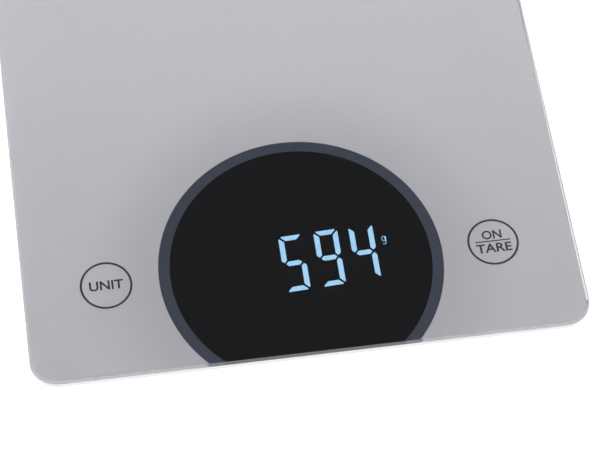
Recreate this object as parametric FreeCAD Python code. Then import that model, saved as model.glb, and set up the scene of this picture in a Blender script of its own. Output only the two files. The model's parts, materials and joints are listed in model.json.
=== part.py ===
import FreeCAD, Part
import math
import os

# Flat glass kitchen scale with a round light-digit display and two touch keys.
# Millimetres. +X is to the right, +Y to the back, +Z up. The origin is under the
# centre of the scale, on the surface that the rubber feet stand on.

# ---- driving dimensions -------------------------------------------------------

WIDTH = 200.0
DEPTH = 240.0
HEIGHT = 22.0

# glass plate with polished edges
GLASS_THICKNESS = 4.0
GLASS_CORNER = 10.0
GLASS_CHAMFER = 0.85
GLASS_BOTTOM = HEIGHT - GLASS_THICKNESS

# printed layers under the glass
INK_GAP = 0.02
INK_THICKNESS = 0.1
INK_TOP = GLASS_BOTTOM - INK_GAP
INK_BOTTOM = INK_TOP - INK_THICKNESS
RING_RADIUS = 51.4
RING_BAND = 4.1
DISC_Y = -DEPTH / 2 + 37.05
KEY_X = 70.3
KEY_Y = DISC_Y + 0.4
KEY_RADIUS = 9.0
KEY_LINE = 0.8

# seven-segment digits
DIGIT_COUNT = 5
DIGIT_PITCH = 12.9
DIGIT_WIDTH = 8.8
DIGIT_HEIGHT = 22.6
DIGIT_STROKE = 1.9
DIGIT_GAP = 0.53
DIGIT_TIP_CUT = 0.4
DIGIT_LAST_X = 23.45
DIGIT_Y = DISC_Y + 1.35
DIGIT_RISE = 0.045
SHOWN_DIGITS = "  594"
SEGMENTS_OF = {" ": "", "4": "bcfg", "5": "acdfg", "9": "abcdfg"}
UNIT_SYMBOL_X = 31.2
UNIT_SYMBOL_Y = DISC_Y + 6.45
UNIT_SYMBOL_WIDTH = 3.0
UNIT_SYMBOL_HEIGHT = 5.0

# housing tray
HOUSING_INSET = 16.0
HOUSING_X = WIDTH / 2 - HOUSING_INSET
HOUSING_Y = DEPTH / 2 - HOUSING_INSET
HOUSING_CORNER = 14.0
HOUSING_BOTTOM = 3.0
HOUSING_TOP = 17.2
HOUSING_WALL = 2.0
HOUSING_FLOOR = HOUSING_BOTTOM + HOUSING_WALL
HOUSING_EDGE = 1.2
RIM_WIDTH = 8.0
RIM_THICKNESS = 1.5
RIB_TOP = 9.5
LONG_RIB_X = 56.0
LONG_RIB_THICKNESS = 3.0
CROSS_RIB_THICKNESS = 1.6
CROSS_RIB_Y = (-48.0, 50.0)
TAPE_MARGIN = 0.8

# feet and load cells
FOOT_X = 64.0
FOOT_Y = 84.0
PAD_RADIUS = 9.0
PAD_TOP = 1.6
CUP_RADIUS = 11.0
CUP_BOTTOM = 0.8
CUP_TOP = 3.8
POST_RADIUS = 4.0
NUB_RADIUS = 1.4
NUB_LENGTH = 2.4
POCKET_RADIUS = 12.0
COLLAR_WALL = 2.0
CELL_BOTTOM = 8.0
CELL_THICKNESS = 1.5
CELL_TOP = CELL_BOTTOM + CELL_THICKNESS
CELL_SIDE = 28.0
CELL_CORNER = 3.0
CELL_WINDOW = (16.0, 20.0)
CELL_TONGUE = (12.0, 18.5)
CELL_SCREW_OFFSET = 11.6
GAUGE_SIZE = (5.0, 4.0, 0.5)
GAUGE_FROM_ROOT = 4.0
NUB_PLAY = 0.2
PAD_EDGE = 0.3

# battery bay, three AAA cells side by side with their axes along X
BAY_Y = 20.0
BATTERY_RADIUS = 5.25
BATTERY_LENGTH = 43.3
BATTERY_NUB_RADIUS = 1.9
BATTERY_NUB_LENGTH = 1.2
BATTERY_PITCH = 11.3
BATTERY_BOTTOM = 5.4
BATTERY_Z = BATTERY_BOTTOM + BATTERY_RADIUS
CONTACT_PLATE = 0.4
CONTACT_SIDE = 9.0
CONTACT_SPRING = 4.0
CONTACT_SPRING_RADII = (4.0, 2.4)
BAY_HALF_X = (BATTERY_LENGTH + BATTERY_NUB_LENGTH + CONTACT_SPRING) / 2 + CONTACT_PLATE
BAY_HALF_Y = 17.3
BAY_TOP = 16.0
BAY_WALL = 1.5
DOOR_GAP = 0.3
DOOR_THICKNESS = 1.6
DOOR_TOP = HOUSING_BOTTOM + DOOR_THICKNESS
KNUCKLE_RADIUS = 1.4
HINGE_Z = HOUSING_BOTTOM + KNUCKLE_RADIUS
HINGE_Y = BAY_Y - BAY_HALF_Y + DOOR_GAP + KNUCKLE_RADIUS
HINGE_PIN_RADIUS = 0.75
HINGE_PIN_LENGTH = 1.4
HINGE_BORE_RADIUS = 0.8
HINGE_BORE_END_GAP = 0.05
TONGUE_WIDTH = 12.0
TONGUE_DEPTH = 1.6
TONGUE_RISE = 2.0
NOTCH_RADIUS = 5.0
NOTCH_DEPTH = 0.7
NOTCH_FROM_EDGE = 7.0
CUSHION_SIZE = (30.0, 22.0)
CUSHION_GAP = 0.2
STOP_WIDTH = 8.0
STOP_DEPTH = 1.5
STOP_HEIGHT = 1.0

# circuit boards
BOARD_BOTTOM = 7.6
BOARD_THICKNESS = 1.2
BOARD_TOP = BOARD_BOTTOM + BOARD_THICKNESS
BOARD_SIZE = (90.0, 39.0)
BOARD_Y = -80.0
BOARD_HOLE_X = 41.5
BOARD_HOLE_DY = 16.0
DISPLAY_BOARD_BOTTOM = 11.0
DISPLAY_BOARD_THICKNESS = 1.0
DISPLAY_BOARD_SIZE = (74.0, 31.0)
REFLECTOR_SIZE = (72.0, 27.0)
REFLECTOR_BOTTOM = DISPLAY_BOARD_BOTTOM + DISPLAY_BOARD_THICKNESS
REFLECTOR_TOP = 17.3
RESIN_DEPTH = 1.2
LED_SIZE = (1.2, 0.8, 0.6)
HEADER_SIZE = (46.0, 2.2)
HEADER_DY = 12.6
CHIP_SIZE = (10.0, 10.0, 1.5)
CHIP_X = -14.0
AMPLIFIER_SIZE = (6.0, 5.0, 1.4)
AMPLIFIER_X = 14.0
CAPACITOR_SIZE = (3.2, 1.6, 1.2)
CAPACITOR_PLACES = ((-28, -86), (-28, -78), (2, -88), (24, -78), (24, -84))
RESISTOR_SIZE = (1.2, 2.0, 0.6)
RESISTOR_PLACES = ((-6, -73), (-3, -73), (0, -73), (3, -73), (6, -73))
CONNECTOR_X = {"front": 34.0, "back": 24.0, "battery": 6.0}
CONNECTOR_Y = -62.5
CONNECTOR_SIZE = (8.0, 4.0, 3.0)

# touch keys: foil under the glass, joined to the board by coil springs
TOUCH_PAD_RADIUS = 5.5
TOUCH_TAIL_WIDTH = 3.0
TOUCH_LANDING_RADIUS = 2.5
TOUCH_FOIL = 0.2
TOUCH_SPRING_X = 40.0
TOUCH_SPRING_RADIUS_LOW = 2.8
TOUCH_SPRING_RADIUS_HIGH = 1.8

# flat leads
LEAD_THICKNESS = 1.0
LEAD_WIDTH = 4.0
LEAD_OVER_CELL = 3.0
FRONT_LEAD_TURN_Y = -54.0
FRONT_LEAD_BEND = 3.0
BACK_LEAD_TURN_Y = -41.0
BACK_LEAD_BEND = 5.0
BATTERY_LEAD_WIDTH = 3.0

# self-tapping screws
BOARD_SHANK_RADIUS = 1.0
BOARD_HEAD_RADIUS = 2.4
BOARD_POST_RADIUS = 3.0
BOARD_SCREW_BITE = 2.0
CELL_SHANK_RADIUS = 0.8
CELL_HEAD_RADIUS = 2.0
CELL_POST_RADIUS = 2.4
CELL_SCREW_BITE = 2.5
SCREW_HEAD_HEIGHT = 1.3
SCREW_SLOT_WIDTH = 0.4
SCREW_SLOT_DEPTH = 0.5
SCREW_HOLE_PLAY = 0.1

# blank rating label on the underside
LABEL_Y = -42.0
LABEL_SIZE = (44.0, 26.0)
LABEL_CORNER = 2.0
LABEL_THICKNESS = 0.1

CORNERS = {
    "front_left": (-1, -1),
    "front_right": (1, -1),
    "back_left": (-1, 1),
    "back_right": (1, 1),
}

UP = FreeCAD.Vector(0, 0, 1)


# ---- shape helpers --------------------------------------------------------------


def box(x_centre, y_centre, size_x, size_y, z_low, z_high):
    corner = FreeCAD.Vector(x_centre - size_x / 2, y_centre - size_y / 2, z_low)
    return Part.makeBox(size_x, size_y, z_high - z_low, corner)


def cylinder(x, y, radius, z_low, z_high):
    return Part.makeCylinder(radius, z_high - z_low, FreeCAD.Vector(x, y, z_low))


def cylinder_along_x(x_low, x_high, y, z, radius):
    start = FreeCAD.Vector(x_low, y, z)
    return Part.makeCylinder(radius, x_high - x_low, start, FreeCAD.Vector(1, 0, 0))


def cone(x, y, radius_low, radius_high, z_low, z_high):
    base = FreeCAD.Vector(x, y, z_low)
    return Part.makeCone(radius_low, radius_high, z_high - z_low, base)


def rounded_plate(x_centre, y_centre, size_x, size_y, corner, z_low, z_high):
    block = box(x_centre, y_centre, size_x, size_y, z_low, z_high)
    uprights = [edge for edge in block.Edges if is_upright(edge)]
    return block.makeFillet(corner, uprights)


def is_upright(edge):
    direction = edge.tangentAt(edge.FirstParameter)
    return abs(direction.z) > 0.99


def edges_at_height(shape, height):
    tolerance = 1e-6
    return [
        edge
        for edge in shape.Edges
        if abs(edge.BoundBox.ZMin - height) < tolerance
        and abs(edge.BoundBox.ZMax - height) < tolerance
    ]


def tube(x, y, radius_out, radius_in, z_low, z_high):
    outer = cylinder(x, y, radius_out, z_low, z_high)
    return outer.cut(cylinder(x, y, radius_in, z_low, z_high))


def prism(outline, z_low, z_high):
    points = [FreeCAD.Vector(x, y, z_low) for x, y in outline]
    face = Part.Face(Part.makePolygon(points + points[:1]))
    return face.extrude(UP * (z_high - z_low))


def joined(shapes):
    return shapes[0].multiFuse(shapes[1:]).removeSplitter()


def ribbon(points, width, bend, z_low, z_high):
    """A flat lead along right-angled runs. bend is the centre-line radius of its corners."""
    pieces = []
    start = points[0]
    for before, corner, after in zip(points, points[1:], points[2:]):
        heading = unit_step(before, corner)
        leaving = unit_step(corner, after)
        stop = (corner[0] - heading[0] * bend, corner[1] - heading[1] * bend)
        pieces.append(straight_run(start, stop, width, z_low, z_high))
        pieces.append(quarter_turn(corner, heading, leaving, width, bend, z_low, z_high))
        start = (corner[0] + leaving[0] * bend, corner[1] + leaving[1] * bend)
    pieces.append(straight_run(start, points[-1], width, z_low, z_high))
    return joined(pieces)


def unit_step(start, end):
    length = math.hypot(end[0] - start[0], end[1] - start[1])
    return ((end[0] - start[0]) / length, (end[1] - start[1]) / length)


def straight_run(start, end, width, z_low, z_high):
    size_x = abs(end[0] - start[0]) or width
    size_y = abs(end[1] - start[1]) or width
    middle_x = (start[0] + end[0]) / 2
    middle_y = (start[1] + end[1]) / 2
    return box(middle_x, middle_y, size_x, size_y, z_low, z_high)


def quarter_turn(corner, heading, leaving, width, bend, z_low, z_high):
    centre_x = corner[0] - heading[0] * bend + leaving[0] * bend
    centre_y = corner[1] - heading[1] * bend + leaving[1] * bend
    ring = tube(centre_x, centre_y, bend + width / 2, bend - width / 2, z_low, z_high)
    reach = bend + width
    quarter_x = centre_x + (heading[0] - leaving[0]) * reach / 2
    quarter_y = centre_y + (heading[1] - leaving[1]) * reach / 2
    return ring.common(box(quarter_x, quarter_y, reach, reach, z_low, z_high))


def save(name, shape):
    shape.exportStep("parts/" + name + ".step")


# ---- glass and printed layers ----------------------------------------------------


def glass_platform():
    plate = rounded_plate(0, 0, WIDTH, DEPTH, GLASS_CORNER, GLASS_BOTTOM, HEIGHT)
    rims = edges_at_height(plate, HEIGHT) + edges_at_height(plate, GLASS_BOTTOM)
    return plate.makeChamfer(GLASS_CHAMFER, rims)


def printed_area():
    """The flat underside of the glass, inside its lower chamfer."""
    size_x = WIDTH - 2 * GLASS_CHAMFER
    size_y = DEPTH - 2 * GLASS_CHAMFER
    corner = GLASS_CORNER - GLASS_CHAMFER
    return rounded_plate(0, 0, size_x, size_y, corner, INK_BOTTOM, INK_TOP)


def key_outlines():
    rings = [
        tube(
            side * KEY_X,
            KEY_Y,
            KEY_RADIUS + KEY_LINE / 2,
            KEY_RADIUS - KEY_LINE / 2,
            INK_BOTTOM,
            INK_TOP,
        )
        for side in (-1, 1)
    ]
    return Part.makeCompound(rings)


def background_print():
    disc = cylinder(0, DISC_Y, RING_RADIUS, INK_BOTTOM, INK_TOP)
    return Part.makeCompound(printed_area().cut([disc, key_outlines()]).Solids)


def ring_print():
    inner = RING_RADIUS - RING_BAND
    band = tube(0, DISC_Y, RING_RADIUS, inner, INK_BOTTOM, INK_TOP)
    return band.common(printed_area())


def display_window():
    disc = cylinder(0, DISC_Y, RING_RADIUS - RING_BAND, INK_BOTTOM, INK_TOP)
    return disc.common(printed_area())


def adhesive_frame():
    """Foam tape that glues the printed glass to the housing's rim."""
    outer = rounded_plate(
        0,
        0,
        2 * (HOUSING_X - TAPE_MARGIN),
        2 * (HOUSING_Y - TAPE_MARGIN),
        HOUSING_CORNER - TAPE_MARGIN,
        HOUSING_TOP,
        INK_BOTTOM,
    )
    return outer.cut(rim_opening(HOUSING_TOP, INK_BOTTOM))


def rim_opening(z_low, z_high):
    return rounded_plate(
        0,
        0,
        2 * (HOUSING_X - RIM_WIDTH),
        2 * (HOUSING_Y - RIM_WIDTH),
        HOUSING_CORNER - RIM_WIDTH,
        z_low,
        z_high,
    )


# ---- housing ----------------------------------------------------------------------


def housing_shell():
    outer = rounded_plate(
        0, 0, 2 * HOUSING_X, 2 * HOUSING_Y, HOUSING_CORNER, HOUSING_BOTTOM, HOUSING_TOP
    )
    outer = outer.makeChamfer(HOUSING_EDGE, edges_at_height(outer, HOUSING_BOTTOM))
    cavity = rounded_plate(
        0,
        0,
        2 * (HOUSING_X - HOUSING_WALL),
        2 * (HOUSING_Y - HOUSING_WALL),
        HOUSING_CORNER - HOUSING_WALL,
        HOUSING_FLOOR,
        HOUSING_TOP - RIM_THICKNESS,
    )
    return outer.cut([cavity, rim_opening(HOUSING_FLOOR, HOUSING_TOP)])


def foot_places():
    return [(sx * FOOT_X, sy * FOOT_Y) for sx, sy in CORNERS.values()]


def cell_screw_places():
    """Two screws per load cell, on the diagonal that points at the middle of the scale."""
    places = []
    for sx, sy in CORNERS.values():
        for step in (-CELL_SCREW_OFFSET, CELL_SCREW_OFFSET):
            places.append((sx * (FOOT_X + step), sy * (FOOT_Y - step)))
    return places


def board_screw_places():
    return [
        (sx * BOARD_HOLE_X, BOARD_Y + sy * BOARD_HOLE_DY) for sx in (-1, 1) for sy in (-1, 1)
    ]


def housing_ribs():
    rib_end = FOOT_Y - POCKET_RADIUS - COLLAR_WALL - LONG_RIB_THICKNESS
    ribs = [
        box(side * LONG_RIB_X, 0, LONG_RIB_THICKNESS, 2 * rib_end, HOUSING_FLOOR, RIB_TOP)
        for side in (-1, 1)
    ]
    for y in CROSS_RIB_Y:
        ribs.append(box(0, y, 2 * LONG_RIB_X, CROSS_RIB_THICKNESS, HOUSING_FLOOR, RIB_TOP))
    reach = LONG_RIB_X - BAY_HALF_X
    for side in (-1, 1):
        middle = side * (BAY_HALF_X + reach / 2)
        ribs.append(box(middle, BAY_Y, reach, CROSS_RIB_THICKNESS, HOUSING_FLOOR, RIB_TOP))
    return ribs


def housing_bosses():
    low = HOUSING_FLOOR
    collars = [
        tube(x, y, POCKET_RADIUS + COLLAR_WALL, POCKET_RADIUS, low, CELL_BOTTOM)
        for x, y in foot_places()
    ]
    cell_posts = [
        cylinder(x, y, CELL_POST_RADIUS, low, CELL_BOTTOM) for x, y in cell_screw_places()
    ]
    board_posts = [
        cylinder(x, y, BOARD_POST_RADIUS, low, BOARD_BOTTOM) for x, y in board_screw_places()
    ]
    return collars + cell_posts + board_posts


def battery_bay():
    return box(
        0,
        BAY_Y,
        2 * (BAY_HALF_X + BAY_WALL),
        2 * (BAY_HALF_Y + BAY_WALL),
        HOUSING_BOTTOM,
        BAY_TOP + BAY_WALL / 2,
    )


def battery_bay_hollow():
    return box(0, BAY_Y, 2 * BAY_HALF_X, 2 * BAY_HALF_Y, HOUSING_BOTTOM, BAY_TOP)


def door_stops():
    """Ledges that the closed door rests against, at the corners away from its hinge."""
    x = BAY_HALF_X - STOP_WIDTH / 2
    y = BAY_Y + BAY_HALF_Y - STOP_DEPTH / 2
    return [
        box(side * x, y, STOP_WIDTH, STOP_DEPTH, DOOR_TOP, DOOR_TOP + STOP_HEIGHT)
        for side in (-1, 1)
    ]


def hinge_bores():
    """One long cutter that opens a blind bore in each end wall of the battery bay."""
    reach = BAY_HALF_X + HINGE_PIN_LENGTH + HINGE_BORE_END_GAP
    return cylinder_along_x(-reach, reach, HINGE_Y, HINGE_Z, HINGE_BORE_RADIUS)


def base_housing():
    shell = joined([housing_shell(), battery_bay()] + housing_ribs() + housing_bosses())
    cell_pilots = [
        cylinder(x, y, CELL_SHANK_RADIUS, CELL_BOTTOM - CELL_SCREW_BITE, CELL_BOTTOM)
        for x, y in cell_screw_places()
    ]
    board_pilots = [
        cylinder(x, y, BOARD_SHANK_RADIUS, BOARD_BOTTOM - BOARD_SCREW_BITE, BOARD_BOTTOM)
        for x, y in board_screw_places()
    ]
    pockets = [
        cylinder(x, y, POCKET_RADIUS, HOUSING_BOTTOM, CELL_BOTTOM) for x, y in foot_places()
    ]
    tools = [battery_bay_hollow(), hinge_bores()] + cell_pilots + board_pilots + pockets
    return joined([shell.cut(tools)] + door_stops())


def rating_label():
    """Blank sticker on the underside."""
    low = HOUSING_BOTTOM - LABEL_THICKNESS
    return rounded_plate(0, LABEL_Y, *LABEL_SIZE, LABEL_CORNER, low, HOUSING_BOTTOM)


# ---- battery door and batteries ------------------------------------------------------


def battery_door():
    half_x = BAY_HALF_X - DOOR_GAP
    far_y = BAY_Y + BAY_HALF_Y - DOOR_GAP
    middle = (HINGE_Y + far_y) / 2
    plate = box(0, middle, 2 * half_x, far_y - HINGE_Y, HOUSING_BOTTOM, DOOR_TOP)
    knuckle = cylinder_along_x(-half_x, half_x, HINGE_Y, HINGE_Z, KNUCKLE_RADIUS)
    reach = BAY_HALF_X + HINGE_PIN_LENGTH
    pin = cylinder_along_x(-reach, reach, HINGE_Y, HINGE_Z, HINGE_PIN_RADIUS)
    tongue_y = far_y - TONGUE_DEPTH / 2
    tongue_top = DOOR_TOP + TONGUE_RISE
    snap_tongue = box(0, tongue_y, TONGUE_WIDTH, TONGUE_DEPTH, HOUSING_BOTTOM, tongue_top)
    body = joined([plate, knuckle, pin, snap_tongue])
    notch_y = far_y - NOTCH_FROM_EDGE
    notch_top = HOUSING_BOTTOM + NOTCH_DEPTH
    return body.cut(cylinder(0, notch_y, NOTCH_RADIUS, HOUSING_BOTTOM, notch_top))


def door_cushion():
    """Foam that keeps the cells from rattling."""
    return box(0, BAY_Y, *CUSHION_SIZE, DOOR_TOP, BATTERY_BOTTOM - CUSHION_GAP)


def battery(row):
    """One AAA cell. Neighbouring cells point opposite ways, so that they sit in series."""
    way = 1 if row % 2 else -1
    y = BAY_Y + row * BATTERY_PITCH
    tip = way * (BAY_HALF_X - CONTACT_PLATE)
    shoulder = tip - way * BATTERY_NUB_LENGTH
    tail = shoulder - way * BATTERY_LENGTH
    can = cylinder_along_x(min(shoulder, tail), max(shoulder, tail), y, BATTERY_Z, BATTERY_RADIUS)
    nub = cylinder_along_x(min(tip, shoulder), max(tip, shoulder), y, BATTERY_Z, BATTERY_NUB_RADIUS)
    return joined([can, nub])


def contact_springs():
    """Solid cones in place of the wire coils that press on the cells' flat ends."""
    cones = []
    for row in (-1, 0, 1):
        way = 1 if row % 2 else -1
        foot = FreeCAD.Vector(
            -way * (BAY_HALF_X - CONTACT_PLATE), BAY_Y + row * BATTERY_PITCH, BATTERY_Z
        )
        pointing = FreeCAD.Vector(way, 0, 0)
        cones.append(Part.makeCone(*CONTACT_SPRING_RADII, CONTACT_SPRING, foot, pointing))
    return Part.makeCompound(cones)


def contact_plates():
    """At each end of the bay one plate bridges two cells and one serves the third."""
    plates = []
    bridge = CONTACT_SIDE + BATTERY_PITCH
    low = BATTERY_Z - CONTACT_SIDE / 2
    high = BATTERY_Z + CONTACT_SIDE / 2
    for side in (-1, 1):
        x = side * (BAY_HALF_X - CONTACT_PLATE / 2)
        bridge_y = BAY_Y + side * BATTERY_PITCH / 2
        single_y = BAY_Y - side * BATTERY_PITCH
        for y, size in ((bridge_y, bridge), (single_y, CONTACT_SIDE)):
            plates.append(box(x, y, CONTACT_PLATE, size, low, high))
    return Part.makeCompound(plates)


# ---- circuit boards -------------------------------------------------------------------

def main_board():
    board = rounded_plate(0, BOARD_Y, *BOARD_SIZE, 2, BOARD_BOTTOM, BOARD_TOP)
    holes = [
        cylinder(x, y, BOARD_SHANK_RADIUS + SCREW_HOLE_PLAY, BOARD_BOTTOM, BOARD_TOP)
        for x, y in board_screw_places()
    ]
    return board.cut(holes)


def display_board():
    top = DISPLAY_BOARD_BOTTOM + DISPLAY_BOARD_THICKNESS
    return rounded_plate(0, DIGIT_Y, *DISPLAY_BOARD_SIZE, 1.5, DISPLAY_BOARD_BOTTOM, top)


def display_header():
    """Pin strips that hold the display board above the main board."""
    strips = []
    for side in (-1, 1):
        y = DIGIT_Y + side * HEADER_DY
        strips.append(box(0, y, *HEADER_SIZE, BOARD_TOP, DISPLAY_BOARD_BOTTOM))
    return Part.makeCompound(strips)


def segment_outlines(x_centre, y_centre):
    """Outline of each segment a to g. The outer six are mitred, with their tips cut off."""
    right = DIGIT_WIDTH / 2
    top = DIGIT_HEIGHT / 2
    half = DIGIT_STROKE / 2
    inner_right = right - DIGIT_STROKE
    inner_top = top - DIGIT_STROKE
    tip_x = right - DIGIT_GAP - DIGIT_TIP_CUT
    tip_y = top - DIGIT_GAP - DIGIT_TIP_CUT
    top_bar = [
        (DIGIT_GAP - inner_right, inner_top),
        (inner_right - DIGIT_GAP, inner_top),
        (tip_x, top - DIGIT_TIP_CUT),
        (tip_x, top),
        (-tip_x, top),
        (-tip_x, top - DIGIT_TIP_CUT),
    ]
    middle_bar = [
        (DIGIT_GAP - inner_right, -half),
        (inner_right - DIGIT_GAP, -half),
        (right - half - DIGIT_GAP, 0),
        (inner_right - DIGIT_GAP, half),
        (DIGIT_GAP - inner_right, half),
        (half + DIGIT_GAP - right, 0),
    ]
    upper_right = [
        (inner_right, half + DIGIT_GAP),
        (right - half, DIGIT_GAP),
        (right, half + DIGIT_GAP),
        (right, tip_y),
        (right - DIGIT_TIP_CUT, tip_y),
        (inner_right, inner_top - DIGIT_GAP),
    ]
    upper_left = mirrored_in_x(upper_right)
    shapes = {
        "a": top_bar,
        "b": upper_right,
        "c": mirrored_in_y(upper_right),
        "d": mirrored_in_y(top_bar),
        "e": mirrored_in_y(upper_left),
        "f": upper_left,
        "g": middle_bar,
    }
    return {
        letter: [in_row(x_centre + x, y_centre + y) for x, y in outline]
        for letter, outline in shapes.items()
    }


def mirrored_in_x(outline):
    return [(-x, y) for x, y in reversed(outline)]


def mirrored_in_y(outline):
    return [(x, -y) for x, y in reversed(outline)]


def in_row(x, y):
    """The row of digits climbs gently towards its right end."""
    return (x, y + DIGIT_RISE * x)


def digit_centres():
    first = DIGIT_LAST_X - (DIGIT_COUNT - 1) * DIGIT_PITCH
    return [first + place * DIGIT_PITCH for place in range(DIGIT_COUNT)]


def all_segments():
    """Every segment as (outline, lit)."""
    found = []
    for x, shown in zip(digit_centres(), SHOWN_DIGITS):
        for letter, outline in segment_outlines(x, DIGIT_Y).items():
            found.append((outline, letter in SEGMENTS_OF[shown]))
    return found


def segment_bodies(lit):
    """Resin light guides that close the reflector's cavities at the top."""
    low = REFLECTOR_TOP - RESIN_DEPTH
    guides = [prism(outline, low, REFLECTOR_TOP) for outline, on in all_segments() if on == lit]
    return Part.makeCompound(guides)


def unit_symbol_box(z_low, z_high):
    return box(
        UNIT_SYMBOL_X, UNIT_SYMBOL_Y, UNIT_SYMBOL_WIDTH, UNIT_SYMBOL_HEIGHT, z_low, z_high
    )


def unit_symbol_guide():
    return unit_symbol_box(REFLECTOR_TOP - RESIN_DEPTH, REFLECTOR_TOP)


def display_reflector():
    block = rounded_plate(0, DIGIT_Y, *REFLECTOR_SIZE, 1, REFLECTOR_BOTTOM, REFLECTOR_TOP)
    cavities = [
        prism(outline, REFLECTOR_BOTTOM, REFLECTOR_TOP) for outline, _ in all_segments()
    ]
    return block.cut(cavities + [unit_symbol_box(REFLECTOR_BOTTOM, REFLECTOR_TOP)])


def led_chips():
    """One chip under each segment and one under the unit symbol."""
    spots = []
    for outline, _ in all_segments():
        x = sum(point[0] for point in outline) / len(outline)
        y = sum(point[1] for point in outline) / len(outline)
        spots.append((x, y))
    spots.append((UNIT_SYMBOL_X, UNIT_SYMBOL_Y))
    low = REFLECTOR_BOTTOM
    chips = [box(x, y, LED_SIZE[0], LED_SIZE[1], low, low + LED_SIZE[2]) for x, y in spots]
    return Part.makeCompound(chips)


def on_board(x, y, size):
    """A block of the given size standing on the main board."""
    return box(x, y, size[0], size[1], BOARD_TOP, BOARD_TOP + size[2])


def controller_chip():
    return on_board(CHIP_X, BOARD_Y, CHIP_SIZE)


def amplifier_chip():
    return on_board(AMPLIFIER_X, BOARD_Y, AMPLIFIER_SIZE)


def capacitors():
    return Part.makeCompound([on_board(x, y, CAPACITOR_SIZE) for x, y in CAPACITOR_PLACES])


def resistors():
    return Part.makeCompound([on_board(x, y, RESISTOR_SIZE) for x, y in RESISTOR_PLACES])


def lead_connectors():
    places = [side * CONNECTOR_X[row] for side in (-1, 1) for row in ("front", "back")]
    places.append(CONNECTOR_X["battery"])
    return Part.makeCompound([on_board(x, CONNECTOR_Y, CONNECTOR_SIZE) for x in places])


def touch_pad(side):
    """Copper foil disc under a key, with a tail that ends over the board."""
    low = INK_BOTTOM - TOUCH_FOIL
    disc = cylinder(side * KEY_X, KEY_Y, TOUCH_PAD_RADIUS, low, INK_BOTTOM)
    tail_x = side * (KEY_X + TOUCH_SPRING_X) / 2
    tail = box(tail_x, KEY_Y, KEY_X - TOUCH_SPRING_X, TOUCH_TAIL_WIDTH, low, INK_BOTTOM)
    landing = cylinder(side * TOUCH_SPRING_X, KEY_Y, TOUCH_LANDING_RADIUS, low, INK_BOTTOM)
    return joined([disc, tail, landing])


def touch_spring(side):
    """Solid cone in place of the wire coil."""
    top = INK_BOTTOM - TOUCH_FOIL
    low, high = TOUCH_SPRING_RADIUS_LOW, TOUCH_SPRING_RADIUS_HIGH
    return cone(side * TOUCH_SPRING_X, KEY_Y, low, high, BOARD_TOP, top)


def screw(x, y, shank_radius, head_radius, z_tip, z_seat):
    """Self-tapping screw with a cross slot in its flat head."""
    top = z_seat + SCREW_HEAD_HEIGHT
    shank = cylinder(x, y, shank_radius, z_tip, z_seat)
    head = cylinder(x, y, head_radius, z_seat, top)
    slot_floor = top - SCREW_SLOT_DEPTH
    slots = [
        box(x, y, head_radius, SCREW_SLOT_WIDTH, slot_floor, top),
        box(x, y, SCREW_SLOT_WIDTH, head_radius, slot_floor, top),
    ]
    return joined([shank, head]).cut(slots)


def board_screws():
    tip = BOARD_BOTTOM - BOARD_SCREW_BITE
    screws = [
        screw(x, y, BOARD_SHANK_RADIUS, BOARD_HEAD_RADIUS, tip, BOARD_TOP)
        for x, y in board_screw_places()
    ]
    return Part.makeCompound(screws)


# ---- load cells, feet and leads ----------------------------------------------------------


def load_cell(sx, sy):
    """Spring-steel plate: a frame screwed to the housing and a tongue that the foot bends."""
    x, y = sx * FOOT_X, sy * FOOT_Y
    plate = rounded_plate(x, y, CELL_SIDE, CELL_SIDE, CELL_CORNER, CELL_BOTTOM, CELL_TOP)
    window = box(x, y, *CELL_WINDOW, CELL_BOTTOM, CELL_TOP)
    root_y = y + sy * CELL_WINDOW[1] / 2
    tongue = box(x, root_y - sy * CELL_TONGUE[1] / 2, *CELL_TONGUE, CELL_BOTTOM, CELL_TOP)
    body = joined([plate.cut(window), tongue])
    holes = [cylinder(x, y, NUB_RADIUS + NUB_PLAY, CELL_BOTTOM, CELL_TOP)]
    screw_hole = CELL_SHANK_RADIUS + SCREW_HOLE_PLAY
    for px, py in cell_screw_places():
        holes.append(cylinder(px, py, screw_hole, CELL_BOTTOM, CELL_TOP))
    return body.cut(holes)


def strain_gauges():
    """One gauge near the root of each tongue, under a bead of epoxy."""
    size_x, size_y, size_z = GAUGE_SIZE
    beads = []
    for sx, sy in CORNERS.values():
        y = sy * (FOOT_Y + CELL_WINDOW[1] / 2 - GAUGE_FROM_ROOT)
        beads.append(box(sx * FOOT_X, y, size_x, size_y, CELL_TOP, CELL_TOP + size_z))
    return Part.makeCompound(beads)


def load_cell_screws():
    tip = CELL_BOTTOM - CELL_SCREW_BITE
    screws = [
        screw(x, y, CELL_SHANK_RADIUS, CELL_HEAD_RADIUS, tip, CELL_TOP)
        for x, y in cell_screw_places()
    ]
    return Part.makeCompound(screws)


def foot_cup(sx, sy):
    """Cup that carries the rubber pad below and presses on the load cell above."""
    x, y = sx * FOOT_X, sy * FOOT_Y
    disc = cylinder(x, y, CUP_RADIUS, CUP_BOTTOM, CUP_TOP)
    post = cylinder(x, y, POST_RADIUS, CUP_TOP, CELL_BOTTOM)
    nub = cylinder(x, y, NUB_RADIUS, CELL_BOTTOM, CELL_BOTTOM + NUB_LENGTH)
    recess = cylinder(x, y, PAD_RADIUS, CUP_BOTTOM, PAD_TOP)
    return joined([disc, post, nub]).cut(recess)


def foot_pad(sx, sy):
    pad = cylinder(sx * FOOT_X, sy * FOOT_Y, PAD_RADIUS, 0, PAD_TOP)
    return pad.makeChamfer(PAD_EDGE, edges_at_height(pad, 0))


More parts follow.
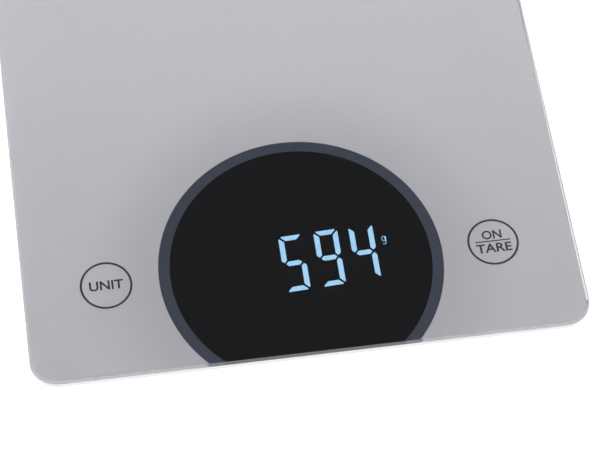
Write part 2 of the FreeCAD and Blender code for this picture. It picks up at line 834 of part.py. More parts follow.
def load_cell_lead(sx, sy):
    """Flat three-wire lead from the frame of a load cell to its connector."""
    if sy < 0:
        connector_x, turn_y, bend = CONNECTOR_X["front"], FRONT_LEAD_TURN_Y, FRONT_LEAD_BEND
    else:
        connector_x, turn_y, bend = CONNECTOR_X["back"], BACK_LEAD_TURN_Y, BACK_LEAD_BEND
    connector_edge = CONNECTOR_Y + CONNECTOR_SIZE[1] / 2
    route = [
        (sx * LONG_RIB_X, sy * (FOOT_Y - CELL_SIDE / 2 + LEAD_OVER_CELL)),
        (sx * LONG_RIB_X, turn_y),
        (sx * connector_x, turn_y),
        (sx * connector_x, connector_edge),
    ]
    return ribbon(route, LEAD_WIDTH, bend, CELL_TOP, CELL_TOP + LEAD_THICKNESS)


def battery_lead():
    bay_edge = BAY_Y - BAY_HALF_Y - BAY_WALL
    connector_edge = CONNECTOR_Y + CONNECTOR_SIZE[1] / 2
    x = CONNECTOR_X["battery"]
    top = CELL_TOP + LEAD_THICKNESS
    return straight_run((x, bay_edge), (x, connector_edge), BATTERY_LEAD_WIDTH, CELL_TOP, top)


# ---- write every sub-part ------------------------------------------------------------------


def main():
    os.makedirs("parts", exist_ok=True)
    single_parts = [
        glass_platform,
        background_print,
        ring_print,
        display_window,
        key_outlines,
        adhesive_frame,
        base_housing,
        rating_label,
        battery_door,
        door_cushion,
        contact_springs,
        contact_plates,
        main_board,
        display_board,
        display_header,
        display_reflector,
        unit_symbol_guide,
        led_chips,
        controller_chip,
        amplifier_chip,
        capacitors,
        resistors,
        lead_connectors,
        board_screws,
        strain_gauges,
        load_cell_screws,
        battery_lead,
    ]
    for make in single_parts:
        save(make.__name__, make())
    save("segments_lit", segment_bodies(True))
    save("segments_unlit", segment_bodies(False))
    for number, row in enumerate((-1, 0, 1), start=1):
        save("battery_%d" % number, battery(row))
    for side_name, side in (("left", -1), ("right", 1)):
        save("touch_pad_" + side_name, touch_pad(side))
        save("touch_spring_" + side_name, touch_spring(side))
    for corner, (sx, sy) in CORNERS.items():
        save("load_cell_" + corner, load_cell(sx, sy))
        save("foot_cup_" + corner, foot_cup(sx, sy))
        save("foot_pad_" + corner, foot_pad(sx, sy))
        save("load_cell_lead_" + corner, load_cell_lead(sx, sy))


main()
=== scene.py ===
import bmesh
import bpy
import json
import math
from mathutils import Matrix, Vector


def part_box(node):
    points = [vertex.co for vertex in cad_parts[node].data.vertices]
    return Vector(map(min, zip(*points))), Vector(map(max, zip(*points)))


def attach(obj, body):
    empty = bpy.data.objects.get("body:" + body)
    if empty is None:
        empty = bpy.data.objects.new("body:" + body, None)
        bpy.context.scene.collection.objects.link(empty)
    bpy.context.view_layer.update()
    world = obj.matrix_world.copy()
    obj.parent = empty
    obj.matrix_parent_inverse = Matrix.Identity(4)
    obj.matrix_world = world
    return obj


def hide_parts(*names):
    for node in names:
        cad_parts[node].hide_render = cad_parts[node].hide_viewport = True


# Looks for the flat glass kitchen scale. Metres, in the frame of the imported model:
# +X to the right, +Y to the back, +Z up, with the feet standing on z = 0.

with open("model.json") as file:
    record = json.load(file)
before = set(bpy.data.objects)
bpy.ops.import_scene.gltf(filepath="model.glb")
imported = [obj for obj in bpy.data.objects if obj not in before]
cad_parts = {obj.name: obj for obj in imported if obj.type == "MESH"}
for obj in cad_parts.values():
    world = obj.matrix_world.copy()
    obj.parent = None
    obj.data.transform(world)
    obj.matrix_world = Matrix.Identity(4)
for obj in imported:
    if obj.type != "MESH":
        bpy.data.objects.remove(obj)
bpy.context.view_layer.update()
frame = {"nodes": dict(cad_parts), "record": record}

MM = 0.001
BODY = "scale_body"
CELL_NUMBERS = (1, 2, 3)
CORNERS = ("front_left", "front_right", "back_left", "back_right")

# ---- places worked out from the frame ---------------------------------------------

glass_low, glass_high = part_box("glass_platform")
ink_low, ink_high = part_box("background_print")
ring_low, ring_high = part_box("ring_print")
window_low, window_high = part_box("display_window")
outline_low, outline_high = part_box("key_outlines")

RING_RADIUS = (ring_high.x - ring_low.x) / 2
WINDOW_RADIUS = (window_high.x - window_low.x) / 2
DISC_CENTRE = Vector((0, window_high.y - WINDOW_RADIUS, ink_high.z))
KEY_RADIUS = (outline_high.y - outline_low.y) / 2
KEY_Y = (outline_high.y + outline_low.y) / 2
KEY_X = outline_high.x - KEY_RADIUS

# ---- camera, in ring radii from the middle of the front line of the print -----------

LENS_MM = 137.3
SENSOR_MM = 36.0
CAMERA_YAW = -0.203
CAMERA_PITCH = 1.062
CAMERA_ROLL = -0.0674
CAMERA_IN_RADII = Vector((-1.550, -6.719, 14.105))
PRINT_DEPTH_SEEN = 2.42 * MM
FRONT_LINE_INSET = 2.58 * MM


def make_camera():
    """The camera sees the print raised by the glass, so its place is measured from there."""
    seen_plane = glass_high.z - PRINT_DEPTH_SEEN
    origin = Vector((0, glass_low.y + FRONT_LINE_INSET, seen_plane))
    flat_forward = Vector((-math.sin(CAMERA_YAW), math.cos(CAMERA_YAW), 0))
    right = Vector((math.cos(CAMERA_YAW), math.sin(CAMERA_YAW), 0))
    down = Vector((0, 0, -1))
    forward = flat_forward * math.cos(CAMERA_PITCH) + down * math.sin(CAMERA_PITCH)
    below = down * math.cos(CAMERA_PITCH) - flat_forward * math.sin(CAMERA_PITCH)
    rolled_right = right * math.cos(CAMERA_ROLL) + below * math.sin(CAMERA_ROLL)
    rolled_below = below * math.cos(CAMERA_ROLL) - right * math.sin(CAMERA_ROLL)
    axes = Matrix((rolled_right, -rolled_below, -forward)).transposed()
    data = bpy.data.cameras.new("camera")
    data.lens = LENS_MM
    data.sensor_width = SENSOR_MM
    data.clip_start = 0.05
    data.clip_end = 20.0
    camera = bpy.data.objects.new("camera", data)
    place = Matrix.Translation(origin + CAMERA_IN_RADII * RING_RADIUS)
    camera.matrix_world = place @ axes.to_4x4()
    bpy.context.scene.collection.objects.link(camera)
    bpy.context.scene.camera = camera


# ---- lights, floor and picture -------------------------------------------------------

FLOOR_SIZE = 60.0
WORLD_LEVEL = 0.10
FLOOR_GLOW = 0.75
# name, place in metres, side in metres, power in watts
SOFTBOXES = (
    ("front_softbox", (-0.1, -1.1, 1.5), 1.1, 17.5),
    ("left_softbox", (-1.4, -0.1, 1.0), 1.0, 5.7),
    ("right_softbox", (1.4, -0.1, 1.0), 1.0, 8.2),
    ("back_softbox", (0.2, 1.9, 0.8), 0.9, 3.6),
)


def make_light(name, place, size, power):
    """A square softbox that faces the middle of the scale."""
    data = bpy.data.lights.new(name, "AREA")
    data.shape = "SQUARE"
    data.size = size
    data.energy = power
    light = bpy.data.objects.new(name, data)
    aim = Vector((0, 0, glass_high.z)) - Vector(place)
    light.location = place
    light.rotation_euler = aim.to_track_quat("-Z", "Y").to_euler()
    bpy.context.scene.collection.objects.link(light)


def make_lights():
    for name, place, size, power in SOFTBOXES:
        make_light(name, place, size, power)


def make_world():
    world = bpy.data.worlds.new("studio")
    bpy.context.scene.world = world
    world.use_nodes = True
    backdrop = world.node_tree.nodes["Background"]
    backdrop.inputs["Color"].default_value = (1, 1, 1, 1)
    backdrop.inputs["Strength"].default_value = WORLD_LEVEL


def make_floor():
    """Glowing white paper, which stays pure white round the scale. It has no underside."""
    half = FLOOR_SIZE / 2
    mesh = bpy.data.meshes.new("floor")
    corners = [(-half, -half, 0), (half, -half, 0), (half, half, 0), (-half, half, 0)]
    mesh.from_pydata(corners, [], [(0, 1, 2, 3)])
    floor = bpy.data.objects.new("floor", mesh)
    bpy.context.scene.collection.objects.link(floor)
    material, shader, tree = new_material("floor_paper", (0.92, 0.92, 0.92), 0.7)
    shader.inputs["Specular IOR Level"].default_value = 0.2
    shader.inputs["Emission Color"].default_value = (1, 1, 1, 1)
    shader.inputs["Emission Strength"].default_value = FLOOR_GLOW
    unseen = node(tree, "ShaderNodeBsdfTransparent")
    by_side = node(tree, "ShaderNodeMixShader")
    from_below = node(tree, "ShaderNodeNewGeometry").outputs["Backfacing"]
    tree.links.new(from_below, by_side.inputs["Fac"])
    tree.links.new(shader.outputs["BSDF"], by_side.inputs[1])
    tree.links.new(unseen.outputs["BSDF"], by_side.inputs[2])
    tree.links.new(by_side.outputs["Shader"], tree.nodes["Material Output"].inputs["Surface"])
    mesh.materials.append(material)


# ---- material helpers ------------------------------------------------------------------


def new_material(name, colour, roughness, metallic=0.0):
    material = bpy.data.materials.new(name)
    material.use_nodes = True
    tree = material.node_tree
    shader = tree.nodes["Principled BSDF"]
    shader.inputs["Base Color"].default_value = (*colour, 1)
    shader.inputs["Roughness"].default_value = roughness
    shader.inputs["Metallic"].default_value = metallic
    return material, shader, tree


def node(tree, kind, **settings):
    made = tree.nodes.new(kind)
    for key, value in settings.items():
        setattr(made, key, value)
    return made


NOISE_LOW = 0.3
NOISE_HIGH = 0.7


def position(tree):
    return node(tree, "ShaderNodeTexCoord").outputs["Object"]


def noise(tree, per_metre, detail=2.0):
    """Noise whose grains are about 1 / per_metre across."""
    texture = node(tree, "ShaderNodeTexNoise")
    texture.inputs["Scale"].default_value = per_metre
    texture.inputs["Detail"].default_value = detail
    tree.links.new(position(tree), texture.inputs["Vector"])
    return texture.outputs["Fac"]


def spread(tree, source, from_low, from_high, to_low, to_high, smooth=False):
    """source moved from one range to another."""
    ranger = node(tree, "ShaderNodeMapRange")
    if smooth:
        ranger.interpolation_type = "SMOOTHSTEP"
    for key, value in (
        ("From Min", from_low),
        ("From Max", from_high),
        ("To Min", to_low),
        ("To Max", to_high),
    ):
        ranger.inputs[key].default_value = value
    tree.links.new(source, ranger.inputs["Value"])
    return ranger.outputs["Result"]


def calculate(tree, operation, first, second):
    maths = node(tree, "ShaderNodeMath", operation=operation)
    for socket, value in zip(maths.inputs, (first, second)):
        if isinstance(value, (int, float)):
            socket.default_value = value
        else:
            tree.links.new(value, socket)
    return maths.outputs["Value"]


def tone(tree, shader, colour, factor):
    """Base colour times a factor that changes over the surface."""
    scale = node(tree, "ShaderNodeVectorMath", operation="SCALE")
    scale.inputs[0].default_value = colour
    tree.links.new(factor, scale.inputs["Scale"])
    tree.links.new(scale.outputs["Vector"], shader.inputs["Base Color"])


def bump(tree, shader, height, distance, strength=1.0):
    bumper = node(tree, "ShaderNodeBump")
    bumper.inputs["Distance"].default_value = distance
    bumper.inputs["Strength"].default_value = strength
    tree.links.new(height, bumper.inputs["Height"])
    tree.links.new(bumper.outputs["Normal"], shader.inputs["Normal"])


def speckled(name, colour, roughness, grain_mm, swing, bump_mm=0.0, metallic=0.0):
    """A plain finish with grain in its colour, roughness and, if asked, its surface."""
    material, shader, tree = new_material(name, colour, roughness, metallic)
    grain = noise(tree, 1 / (grain_mm * MM))
    tone(tree, shader, colour, spread(tree, grain, NOISE_LOW, NOISE_HIGH, 1 - swing, 1 + swing))
    rough = spread(tree, grain, NOISE_LOW, NOISE_HIGH, roughness * 0.85, min(roughness * 1.15, 1))
    tree.links.new(rough, shader.inputs["Roughness"])
    if bump_mm:
        bump(tree, shader, grain, bump_mm * MM)
    return material


# ---- materials -------------------------------------------------------------------------

GLASS_TINT = (0.975, 0.99, 0.985)
GLASS_IOR = 1.5
GROUND_COLOUR = (0.88, 0.89, 0.90)
WALL_FROST = 0.88
BEVEL_FROST = 0.21
BEVEL_NORMAL_Z = 0.70
FACE_NORMAL_Z = 0.95


def clear_glass():
    """Clear sheet whose ground bevel and wall scatter light. Lamps reach the print through it."""
    material, shader, tree = new_material("clear_glass", GLASS_TINT, 0.0)
    shader.inputs["Transmission Weight"].default_value = 1.0
    shader.inputs["IOR"].default_value = GLASS_IOR
    frost = node(tree, "ShaderNodeBsdfDiffuse")
    frost.inputs["Color"].default_value = (*GROUND_COLOUR, 1)
    coordinates = node(tree, "ShaderNodeTexCoord")
    split = node(tree, "ShaderNodeSeparateXYZ")
    tree.links.new(coordinates.outputs["Normal"], split.inputs["Vector"])
    upright = calculate(tree, "ABSOLUTE", split.outputs["Z"], 0)
    on_wall = spread(tree, upright, 0, BEVEL_NORMAL_Z, WALL_FROST, BEVEL_FROST)
    on_bevel = spread(tree, upright, BEVEL_NORMAL_Z, FACE_NORMAL_Z, 1, 0)
    share = calculate(tree, "MULTIPLY", on_wall, on_bevel)
    ground = node(tree, "ShaderNodeMixShader")
    tree.links.new(share, ground.inputs["Fac"])
    tree.links.new(shader.outputs["BSDF"], ground.inputs[1])
    tree.links.new(frost.outputs["BSDF"], ground.inputs[2])
    passing = node(tree, "ShaderNodeBsdfTransparent")
    chooser = node(tree, "ShaderNodeMixShader")
    path = node(tree, "ShaderNodeLightPath")
    tree.links.new(path.outputs["Is Shadow Ray"], chooser.inputs["Fac"])
    tree.links.new(ground.outputs["Shader"], chooser.inputs[1])
    tree.links.new(passing.outputs["BSDF"], chooser.inputs[2])
    tree.links.new(chooser.outputs["Shader"], tree.nodes["Material Output"].inputs["Surface"])
    return material


SILVER = (0.443, 0.428, 0.461)
# Painted shade in the silver print: how dark it gets at the ring's edge and at the front, and how far
# each reaches.
RING_SHADE_DARKEST = 0.855
RING_SHADE_REACH = 0.58
FRONT_SHADE_DARKEST = 0.775
FRONT_SHADE_REACH = 190 * MM
SILVER_GRAIN = 0.25 * MM


def silver_ink():
    """Silver-grey print with a fine metallic grain, and painted shade that darkens it towards the
    front and round the ring.
    """
    material, shader, tree = new_material("silver_ink", SILVER, 0.5)
    # Painted shade round the ring, darkest at its edge.
    away = node(tree, "ShaderNodeVectorMath", operation="DISTANCE")
    tree.links.new(position(tree), away.inputs[0])
    away.inputs[1].default_value = DISC_CENTRE
    start = RING_RADIUS * 0.98
    end = RING_RADIUS * (1 + RING_SHADE_REACH)
    ring_shade = spread(tree, away.outputs["Value"], start, end, RING_SHADE_DARKEST, 1, True)
    # Painted shade towards the front edge.
    split = node(tree, "ShaderNodeSeparateXYZ")
    tree.links.new(position(tree), split.inputs["Vector"])
    front, back = ink_low.y, ink_low.y + FRONT_SHADE_REACH
    front_shade = spread(tree, split.outputs["Y"], front, back, FRONT_SHADE_DARKEST, 1, True)
    grain = spread(tree, noise(tree, 1 / SILVER_GRAIN), NOISE_LOW, NOISE_HIGH, 0.985, 1.015)
    shade = calculate(tree, "MULTIPLY", ring_shade, front_shade)
    tone(tree, shader, SILVER, calculate(tree, "MULTIPLY", shade, grain))
    shader.inputs["Specular IOR Level"].default_value = 0.3
    return material


FILM_COLOUR = (0.0034, 0.0034, 0.0042)
FILM_TINT = (0.40, 0.405, 0.41)
FILM_OPAQUE_SHARE = 0.3
FILM_BRIGHTER = 3.0


def smoked_ink():
    """Black print, thinned to a dark film over the display, so that only lit digits show."""
    material, shader, tree = new_material("smoked_ink", FILM_COLOUR, 0.35)
    shader.inputs["Specular IOR Level"].default_value = 0.0
    passing = node(tree, "ShaderNodeBsdfTransparent")
    passing.inputs["Color"].default_value = (*FILM_TINT, 1)
    mix = node(tree, "ShaderNodeMixShader")
    over_display = inside_rectangle(tree, *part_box("display_reflector"))
    tone(tree, shader, FILM_COLOUR, spread(tree, over_display, 0, 1, 1, FILM_BRIGHTER))
    opaque = spread(tree, over_display, 0, 1, 1, FILM_OPAQUE_SHARE)
    tree.links.new(opaque, mix.inputs["Fac"])
    tree.links.new(passing.outputs["BSDF"], mix.inputs[1])
    tree.links.new(shader.outputs["BSDF"], mix.inputs[2])
    tree.links.new(mix.outputs["Shader"], tree.nodes["Material Output"].inputs["Surface"])
    return material


def inside_rectangle(tree, low, high):
    """1 where the point is over the rectangle from low to high, and 0 elsewhere."""
    split = node(tree, "ShaderNodeSeparateXYZ")
    tree.links.new(position(tree), split.inputs["Vector"])
    inside = 1
    for axis in range(2):
        above = calculate(tree, "GREATER_THAN", split.outputs[axis], low[axis])
        below = calculate(tree, "LESS_THAN", split.outputs[axis], high[axis])
        inside = calculate(tree, "MULTIPLY", inside, calculate(tree, "MULTIPLY", above, below))
    return inside


LIGHT_COLOUR = (0.41, 0.71, 1.0)
LIGHT_LEVEL = 12.2
LIGHT_CLOUD = 2.0 * MM


def lit_resin():
    """Resin light guide with the chip below it switched on."""
    material, shader, tree = new_material("lit_resin", (0.7, 0.8, 0.85), 0.4)
    shader.inputs["Emission Color"].default_value = (*LIGHT_COLOUR, 1)
    cloud = noise(tree, 1 / LIGHT_CLOUD)
    level = spread(tree, cloud, NOISE_LOW, NOISE_HIGH, LIGHT_LEVEL * 0.92, LIGHT_LEVEL * 1.05)
    tree.links.new(level, shader.inputs["Emission Strength"])
    return material


ROLLING_LINES = (300, 9000, 9000)
TRACK_PITCH = 4 * MM
TRACK_EDGE = (0.05, 0.07)


def moulded_plastic(name, colour):
    """Plastic with the fine spark-eroded texture of its mould."""
    return speckled(name, colour, 0.55, 0.35, 0.06, bump_mm=0.03)


def brushed_metal(name, colour, roughness=0.32):
    """Rolled metal with fine lines along X."""
    material, shader, tree = new_material(name, colour, roughness, 1.0)
    stretch = node(tree, "ShaderNodeMapping")
    stretch.inputs["Scale"].default_value = ROLLING_LINES
    tree.links.new(position(tree), stretch.inputs["Vector"])
    lines = node(tree, "ShaderNodeTexNoise")
    lines.inputs["Scale"].default_value = 1.0
    tree.links.new(stretch.outputs["Vector"], lines.inputs["Vector"])
    rough = spread(tree, lines.outputs["Fac"], NOISE_LOW, NOISE_HIGH, roughness * 0.8, roughness * 1.3)
    tree.links.new(rough, shader.inputs["Roughness"])
    tone(tree, shader, colour, spread(tree, lines.outputs["Fac"], NOISE_LOW, NOISE_HIGH, 0.94, 1.04))
    return material


def circuit_laminate():
    """Green solder mask over copper tracks."""
    green, track = (0.012, 0.105, 0.045), (0.03, 0.19, 0.075)
    material, shader, tree = new_material("board_laminate", green, 0.35)
    cells = node(tree, "ShaderNodeTexVoronoi", feature="DISTANCE_TO_EDGE", distance="MANHATTAN")
    cells.inputs["Scale"].default_value = 1 / TRACK_PITCH
    tree.links.new(position(tree), cells.inputs["Vector"])
    on_track = spread(tree, cells.outputs["Distance"], *TRACK_EDGE, 1, 0)
    mix = node(tree, "ShaderNodeMix", data_type="RGBA")
    mix.inputs["A"].default_value = (*green, 1)
    mix.inputs["B"].default_value = (*track, 1)
    tree.links.new(on_track, mix.inputs["Factor"])
    tree.links.new(mix.outputs["Result"], shader.inputs["Base Color"])
    bump(tree, shader, on_track, 0.03 * MM)
    return material


def make_materials():
    return {
        "clear_glass": clear_glass(),
        "silver_ink": silver_ink(),
        "slate_ink": speckled("slate_ink", (0.0205, 0.0255, 0.0430), 0.45, 0.25, 0.02),
        "smoked_ink": smoked_ink(),
        "legend_ink": speckled("legend_ink", (0.010, 0.010, 0.018), 0.5, 0.3, 0.03),
        "foam_tape": speckled("foam_tape", (0.02, 0.02, 0.02), 0.9, 0.3, 0.2, bump_mm=0.1),
        "housing_plastic": moulded_plastic("housing_plastic", (0.075, 0.076, 0.082)),
        "label_film": speckled("label_film", (0.26, 0.26, 0.27), 0.4, 1.5, 0.02),
        "door_plastic": moulded_plastic("door_plastic", (0.070, 0.071, 0.077)),
        "foam": speckled("foam", (0.03, 0.03, 0.03), 0.95, 0.4, 0.25, bump_mm=0.15),
        "spring_steel": brushed_metal("spring_steel", (0.72, 0.71, 0.69), 0.2),
        "nickel_plate": brushed_metal("nickel_plate", (0.70, 0.66, 0.58), 0.25),
        "board_laminate": circuit_laminate(),
        "header_plastic": moulded_plastic("header_plastic", (0.02, 0.02, 0.02)),
        "reflector_plastic": moulded_plastic("reflector_plastic", (0.010, 0.010, 0.011)),
        "lit_resin": lit_resin(),
        "clear_resin": speckled("clear_resin", (0.05, 0.05, 0.052), 0.4, 0.8, 0.05),
        "led_package": speckled("led_package", (0.75, 0.66, 0.25), 0.4, 0.3, 0.08),
        "chip_epoxy": speckled("chip_epoxy", (0.018, 0.018, 0.019), 0.5, 0.3, 0.2, bump_mm=0.02),
        "capacitor_ceramic": speckled("capacitor_ceramic", (0.36, 0.22, 0.12), 0.45, 0.3, 0.1),
        "resistor_ceramic": speckled("resistor_ceramic", (0.03, 0.03, 0.04), 0.3, 0.3, 0.1),
        "connector_plastic": speckled("connector_plastic", (0.66, 0.63, 0.54), 0.4, 1.0, 0.04),
        "screw_steel": brushed_metal("screw_steel", (0.55, 0.55, 0.57), 0.3),
        "gauge_epoxy": speckled("gauge_epoxy", (0.68, 0.65, 0.58), 0.3, 1.0, 0.05, bump_mm=0.1),
        "lead_insulation": speckled("lead_insulation", (0.28, 0.28, 0.29), 0.5, 0.5, 0.05),
        "battery_wrap": speckled("battery_wrap", (0.035, 0.075, 0.20), 0.25, 2.0, 0.04),
        "battery_metal": brushed_metal("battery_metal", (0.66, 0.66, 0.64), 0.25),
        "copper_foil": brushed_metal("copper_foil", (0.75, 0.38, 0.24), 0.3),
        "cell_steel": brushed_metal("cell_steel", (0.58, 0.58, 0.57), 0.3),
        "cup_plastic": moulded_plastic("cup_plastic", (0.06, 0.06, 0.066)),
        "foot_rubber": speckled("foot_rubber", (0.022, 0.022, 0.022), 0.8, 0.3, 0.15, bump_mm=0.04),
    }


def paint_frame(materials):
    """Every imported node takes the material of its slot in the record."""
    for part in frame["record"]["subparts"]:
        cad_object = frame["nodes"][part["node"]]
        chosen = materials[part["material_slot"]]
        if not cad_object.material_slots:
            cad_object.data.materials.append(chosen)
        for slot in cad_object.material_slots:
            slot.material = chosen


# ---- mesh helpers -----------------------------------------------------------------------

SHARP_ANGLE = math.radians(35)
WIRE_SIDES = 8
WIRE_STEPS_PER_TURN = 24
CELL_SIDES = 48
TREAD_SIDES = 72

def add_piece(name, mesh, body, slot, materials):
    piece = bpy.data.objects.new(name, mesh)
    bpy.context.scene.collection.objects.link(piece)
    if not mesh.materials:
        mesh.materials.append(materials[slot])
    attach(piece, body)
    return piece


def letter_mesh(name, text, low, high):
    """Flat bold letters that fill the box from low to high."""
    curve = bpy.data.curves.new(name, "FONT")
    curve.body = text
    curve.offset = LETTER_BOLDNESS
    curve.extrude = 0.1
    writer = bpy.data.objects.new(name, curve)
    bpy.context.scene.collection.objects.link(writer)
    bpy.context.view_layer.update()
    seen = writer.evaluated_get(bpy.context.evaluated_depsgraph_get())
    mesh = bpy.data.meshes.new_from_object(seen)
    bpy.data.objects.remove(writer)
    found_low = Vector([min(v.co[axis] for v in mesh.vertices) for axis in range(3)])
    found_high = Vector([max(v.co[axis] for v in mesh.vertices) for axis in range(3)])
    for vertex in mesh.vertices:
        for axis in range(3):
            share = (vertex.co[axis] - found_low[axis]) / (found_high[axis] - found_low[axis])
            vertex.co[axis] = low[axis] + share * (high[axis] - low[axis])
    return mesh


def lathe_mesh(name, outline, sides, material_of_span, materials):
    """Turns (radius, height) points round Z. material_of_span gives each span's material."""
    shape = bmesh.new()
    rings = []
    for radius, height in outline:
        if radius == 0:
            rings.append([shape.verts.new((0, 0, height))] * sides)
            continue
        turns = [2 * math.pi * step / sides for step in range(sides)]
        rings.append(
            [shape.verts.new((radius * math.cos(a), radius * math.sin(a), height)) for a in turns]
        )
    for span, (lower, upper) in enumerate(zip(rings, rings[1:])):
        for step in range(sides):
            after = (step + 1) % sides
            corners = [lower[step], lower[after], upper[after], upper[step]]
            face = shape.faces.new(list(dict.fromkeys(corners)))
            face.smooth = True
            face.material_index = material_of_span(span)
    shape.normal_update()
    mesh = bpy.data.meshes.new(name)
    shape.to_mesh(mesh)
    shape.free()
    for material in materials:
        mesh.materials.append(material)
    mesh.set_sharp_from_angle(angle=SHARP_ANGLE)
    return mesh


def coil_mesh(name, start, end, radius_start, radius_end, turns, wire_radius):
    """Round wire wound from start to end, with closed ends."""
    steps = int(turns * WIRE_STEPS_PER_TURN)
    axis = (end - start).normalized()
    across = axis.orthogonal().normalized()
    over = axis.cross(across)
    length = (end - start).length - 2 * wire_radius
    shape = bmesh.new()
    rings = []
    for step in range(steps + 1):
        share = step / steps
        angle = 2 * math.pi * turns * share
        radius = radius_start + (radius_end - radius_start) * share
        outward = across * math.cos(angle) + over * math.sin(angle)
        centre = start + axis * (wire_radius + length * share) + outward * radius
        ring = []
        for side in range(WIRE_SIDES):
            turn = 2 * math.pi * side / WIRE_SIDES
            offset = outward * math.cos(turn) + axis * math.sin(turn)
            ring.append(shape.verts.new(centre + offset * wire_radius))
        rings.append(ring)
    join_rings(shape, rings)
    shape.faces.new(rings[0][::-1])
    shape.faces.new(rings[-1])
    return finished_mesh(name, shape)


def join_rings(shape, rings):
    """Faces between each ring of vertices and the next one."""
    sides = len(rings[0])
    for lower, upper in zip(rings, rings[1:]):
        for side in range(sides):
            after = (side + 1) % sides
            face = shape.faces.new((lower[side], lower[after], upper[after], upper[side]))
            face.smooth = True


def finished_mesh(name, shape):
    bmesh.ops.recalc_face_normals(shape, faces=shape.faces)
    mesh = bpy.data.meshes.new(name)
    shape.to_mesh(mesh)
    shape.free()
    mesh.set_sharp_from_angle(angle=SHARP_ANGLE)
    return mesh


def add_stroke(shape, path, width, low_z, high_z):
    """A flat line of even width along the path. A path that ends where it starts is a loop."""
    closed = path[0] == path[-1]
    rings = []
    for place, (x, y) in enumerate(path):
        before = path[place - 1] if place else path[-2 if closed else 0]
        after = path[place + 1] if place < len(path) - 1 else path[1 if closed else -1]
        along = Vector((after[0] - before[0], after[1] - before[1])).normalized()
        across = Vector((-along.y, along.x)) * width / 2
        corners = (
            (x - across.x, y - across.y, low_z),
            (x + across.x, y + across.y, low_z),
            (x + across.x, y + across.y, high_z),
            (x - across.x, y - across.y, high_z),
        )
        rings.append([shape.verts.new(corner) for corner in corners])
    if closed:
        rings[-1] = rings[0]
    else:
        shape.faces.new(rings[0][::-1])
        shape.faces.new(rings[-1])
    join_rings(shape, rings)


# ---- printed legends ----------------------------------------------------------------------

LETTER_BOLDNESS = 0.020
LEGEND_LOW_Z = ink_high.z + 0.004 * MM
LEGEND_HIGH_Z = ink_high.z + 0.016 * MM
UNIT_BOX = ((-6.05, -1.85), (6.15, 1.90))
ON_BOX = ((-3.65, 1.25), (3.55, 4.80))
LINE_BOX = ((-6.40, 0.18), (6.40, 0.64))
TARE_BOX = ((-6.55, -4.20), (6.45, -0.60))


def legend_corners(centre_x, box_mm):
    (left, bottom), (right, top) = box_mm
    low = Vector((centre_x + left * MM, KEY_Y + bottom * MM, LEGEND_LOW_Z))
    high = Vector((centre_x + right * MM, KEY_Y + top * MM, LEGEND_HIGH_Z))
    return low, high


def make_legends(materials):
    """UNIT on the left key, and ON over a line over TARE on the right one."""
    words = (
        ("legend_unit", "UNIT", -KEY_X, UNIT_BOX),
        ("legend_on", "ON", KEY_X, ON_BOX),
        ("legend_tare", "TARE", KEY_X, TARE_BOX),
    )
    for name, text, centre_x, box_mm in words:
        mesh = letter_mesh(name, text, *legend_corners(centre_x, box_mm))
        add_piece(name, mesh, BODY, "legend_ink", materials)
    low, high = legend_corners(KEY_X, LINE_BOX)
    shape = bmesh.new()
    bmesh.ops.create_cube(shape, size=1.0)
    bmesh.ops.scale(shape, vec=high - low, verts=shape.verts)
    bmesh.ops.translate(shape, vec=(high + low) / 2, verts=shape.verts)
    mesh = bpy.data.meshes.new("legend_line")
    shape.to_mesh(mesh)
    shape.free()
    add_piece("legend_line", mesh, BODY, "legend_ink", materials)


SYMBOL_HALF_WIDTH = 0.68 * MM
SYMBOL_HALF_HEIGHT = 1.62 * MM
SYMBOL_STROKE = 0.20 * MM
SYMBOL_GAP = 0.01 * MM
SYMBOL_THICKNESS = 0.05 * MM


def symbol_paths():
    """Centre lines of the bowl and the hooked tail of a letter g, in a box from -1 to 1."""
    bowl_turns = [2 * math.pi * step / 24 for step in range(24)]
    bowl = [(math.cos(turn), 0.38 + 0.62 * math.sin(turn)) for turn in bowl_turns]
    hook_turns = [-math.radians(16) * step for step in range(10)]
    hook = [(math.cos(turn), -0.55 + 0.45 * math.sin(turn)) for turn in hook_turns]
    return bowl + bowl[:1], [(1, 1)] + hook


def make_unit_symbol(materials):
    """A lit letter g on top of its light guide, whose own face is masked dark."""
    low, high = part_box("unit_symbol_guide")
    middle = (low + high) / 2
    bottom = high.z + SYMBOL_GAP
    shape = bmesh.new()
    for path in symbol_paths():
        points = [
            (middle.x + x * SYMBOL_HALF_WIDTH, middle.y + y * SYMBOL_HALF_HEIGHT) for x, y in path
        ]
        add_stroke(shape, points, SYMBOL_STROKE, bottom, bottom + SYMBOL_THICKNESS)
    add_piece("unit_symbol", finished_mesh("unit_symbol", shape), BODY, "lit_resin", materials)
    frame["nodes"]["unit_symbol_guide"].material_slots[0].material = materials["clear_resin"]


# ---- springs, batteries and feet --------------------------------------------------------------

TOUCH_WIRE = 0.25 * MM
TOUCH_TURNS = 5.5
TOUCH_TAPER = 0.6
CONTACT_WIRE = 0.3 * MM
CONTACT_TURNS = 3.5
CONTACT_RADII = (3.6 * MM, 2.2 * MM)
SPRING_ROOM = 1 * MM
SLEEVE_SPANS = (4, 5, 6)

def make_touch_springs(materials):
    for side in ("left", "right"):
        low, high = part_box("touch_spring_" + side)
        x, y = (low.x + high.x) / 2, (low.y + high.y) / 2
        widest = (high.x - low.x) / 2 - TOUCH_WIRE
        start = Vector((x, y, low.z))
        end = Vector((x, y, high.z))
        name = "touch_coil_" + side
        narrowest = widest * TOUCH_TAPER
        mesh = coil_mesh(name, start, end, widest, narrowest, TOUCH_TURNS, TOUCH_WIRE)
        piece = add_piece(name, mesh, BODY, "spring_steel", materials)
        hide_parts("touch_spring_" + side)


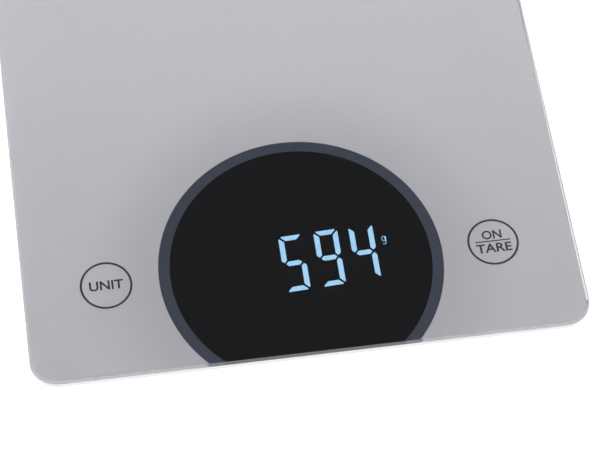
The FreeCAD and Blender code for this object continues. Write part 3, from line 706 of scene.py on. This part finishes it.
def make_contact_springs(materials):
    """One coil behind the flat end of each battery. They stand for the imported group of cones."""
    low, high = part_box("contact_springs")
    whole = bmesh.new()
    for number in CELL_NUMBERS:
        cell_low, cell_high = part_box("battery_%d" % number)
        y, z = (cell_low.y + cell_high.y) / 2, (cell_low.z + cell_high.z) / 2
        at_left = cell_low.x - low.x > SPRING_ROOM
        start = Vector((low.x if at_left else high.x, y, z))
        end = Vector((cell_low.x if at_left else cell_high.x, y, z))
        coil = coil_mesh("coil", start, end, *CONTACT_RADII, CONTACT_TURNS, CONTACT_WIRE)
        whole.from_mesh(coil)
        bpy.data.meshes.remove(coil)
    mesh = bpy.data.meshes.new("contact_coils")
    whole.to_mesh(mesh)
    whole.free()
    piece = add_piece("contact_coils", mesh, BODY, "spring_steel", materials)
    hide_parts("contact_springs")


def battery_outline(length, radius):
    """From the flat end to the tip of the nub: crimped can, sleeve, shoulder and nub."""
    nub = 1.9 * MM
    nub_length = 1.2 * MM
    nub_edge = 0.3 * MM
    body = length - nub_length
    edge = 0.5 * MM
    lip = 0.12 * MM
    dish = 0.15 * MM
    shoulder = 0.1 * MM
    collar = nub + 0.6 * MM
    return [
        (0, 0),
        (radius * 0.72, 0),
        (radius * 0.76, dish),
        (radius - edge, dish),
        (radius - lip, edge),
        (radius, edge + lip),
        (radius, body - edge - lip),
        (radius - lip, body - edge),
        (radius - edge, body - shoulder),
        (collar, body),
        (nub, body + shoulder),
        (nub, length - nub_edge),
        (nub - nub_edge, length),
        (0, length),
    ]


def make_batteries(materials):
    for number in CELL_NUMBERS:
        cad_name = "battery_%d" % number
        low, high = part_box(cad_name)
        radius = (high.z - low.z) / 2
        outline = battery_outline(high.x - low.x, radius)
        name = "cell_%d" % number
        mesh = lathe_mesh(
            name,
            outline,
            CELL_SIDES,
            lambda span: 0 if span in SLEEVE_SPANS else 1,
            [materials["battery_wrap"], materials["battery_metal"]],
        )
        spring_side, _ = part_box("contact_springs")
        points_right = low.x - spring_side.x > SPRING_ROOM
        turn = Matrix.Rotation(math.radians(90 if points_right else -90), 4, "Y")
        tail_x = low.x if points_right else high.x
        centre = Vector((tail_x, (low.y + high.y) / 2, (low.z + high.z) / 2))
        mesh.transform(Matrix.Translation(centre) @ turn)
        piece = add_piece(name, mesh, BODY, "battery_wrap", materials)
        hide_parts(cad_name)


def tread_outline(radius, height):
    """Rubber pad with ring-shaped grooves in the face that it stands on."""
    depth = 0.35 * MM
    half_floor = 0.35 * MM
    half_mouth = 0.55 * MM
    edge = 0.3 * MM
    points = [(0, 0)]
    for centre in (2.4 * MM, 4.6 * MM, 6.8 * MM):
        points += [
            (centre - half_mouth, 0),
            (centre - half_floor, depth),
            (centre + half_floor, depth),
            (centre + half_mouth, 0),
        ]
    points += [(radius - edge, 0), (radius, edge), (radius, height), (0, height)]
    return points


def make_treads(materials):
    for corner in CORNERS:
        low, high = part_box("foot_pad_" + corner)
        outline = tread_outline((high.x - low.x) / 2, high.z - low.z)
        name = "tread_" + corner
        mesh = lathe_mesh(name, outline, TREAD_SIDES, lambda span: 0, [materials["foot_rubber"]])
        centre = Vector(((low.x + high.x) / 2, (low.y + high.y) / 2, low.z))
        mesh.transform(Matrix.Translation(centre))
        piece = add_piece(name, mesh, BODY, "foot_rubber", materials)
        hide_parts("foot_pad_" + corner)


# ---- put it together -----------------------------------------------------------------------------


def set_picture():
    view = bpy.context.scene.view_settings
    view.view_transform = "Standard"
    view.look = "None"
    view.exposure = 0.0
    view.gamma = 1.0


make_camera()
make_world()
make_lights()
make_floor()
set_picture()
finishes = make_materials()
paint_frame(finishes)
make_legends(finishes)
make_unit_symbol(finishes)
make_touch_springs(finishes)
make_contact_springs(finishes)
make_batteries(finishes)
make_treads(finishes)
